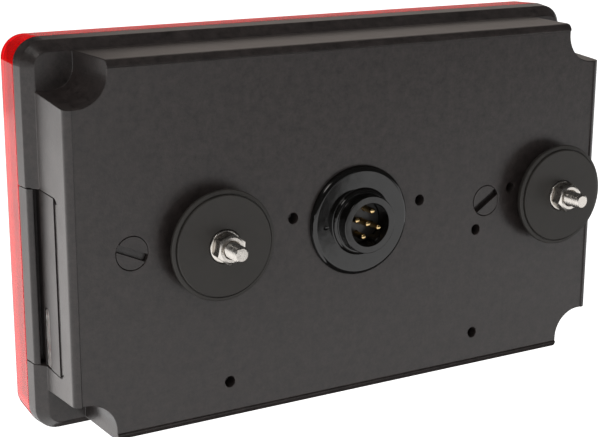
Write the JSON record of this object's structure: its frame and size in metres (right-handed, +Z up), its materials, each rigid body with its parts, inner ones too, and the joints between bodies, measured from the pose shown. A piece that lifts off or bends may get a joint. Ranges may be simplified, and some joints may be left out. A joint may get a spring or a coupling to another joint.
{
  "type": "rear combination lamp",
  "caption": "Oblong rear lamp in a black housing with a red lens, an amber window, a reflector, two mounting studs on rubber pads and a round plug socket.",
  "frame": {"origin": "midway between the two mounting studs, on the faces of their rubber pads", "axes": "+X along the lamp, away from the number-plate light; +Y from the mounting side towards the lens; +Z up as the lamp is fitted"},
  "size_m": [0.2385, 0.075, 0.1448],
  "materials": {
    "black_plastic": "satin moulded",
    "gloss_black_plastic": "polished moulded",
    "insulator": "smooth moulded",
    "black_rubber": "moulded, matt",
    "red_plastic": "clear red, polished",
    "amber_plastic": "clear amber, polished",
    "clear_plastic": "clear, textured",
    "white_plastic": "satin moulded",
    "lead_sheath": "flexible sheath",
    "zinc_steel": "zinc plated",
    "brass": "drawn or pressed",
    "bulb_glass": "clear glass and metal cap"
  },
  "bodies": {
    "root": {"housing": "black_plastic", "plate_light_cover": "black_plastic", "plate_light_pane": "clear_plastic", "lens": "red_plastic", "amber_window": "amber_plastic", "reflex_reflector": "red_plastic", "lens_gasket": "black_rubber", "lens_screws": "zinc_steel", "bulb_carrier": "white_plastic", "carrier_screws": "zinc_steel", "holder_stop_tail": "brass", "holder_indicator": "brass", "holder_fog": "brass", "holder_plate_light": "brass", "bulb_stop_tail": "bulb_glass", "bulb_indicator": "bulb_glass", "bulb_fog": "bulb_glass", "bulb_plate_light": "bulb_glass", "feed_contacts": "brass", "earth_strip": "brass", "plate_feed_strip": "brass", "holder_rivets": "brass", "socket_leads": "lead_sheath", "socket_body": "gloss_black_plastic", "socket_insert": "insulator", "socket_pins": "brass", "socket_seal": "black_rubber", "socket_nut": "gloss_black_plastic", "pad_left": "black_rubber", "pad_right": "black_rubber", "stud_left": "zinc_steel", "stud_right": "zinc_steel", "stud_washers": "zinc_steel", "stud_nuts": "zinc_steel", "plug_left": "black_plastic", "plug_right": "black_plastic"}
  },
  "joints": []
}
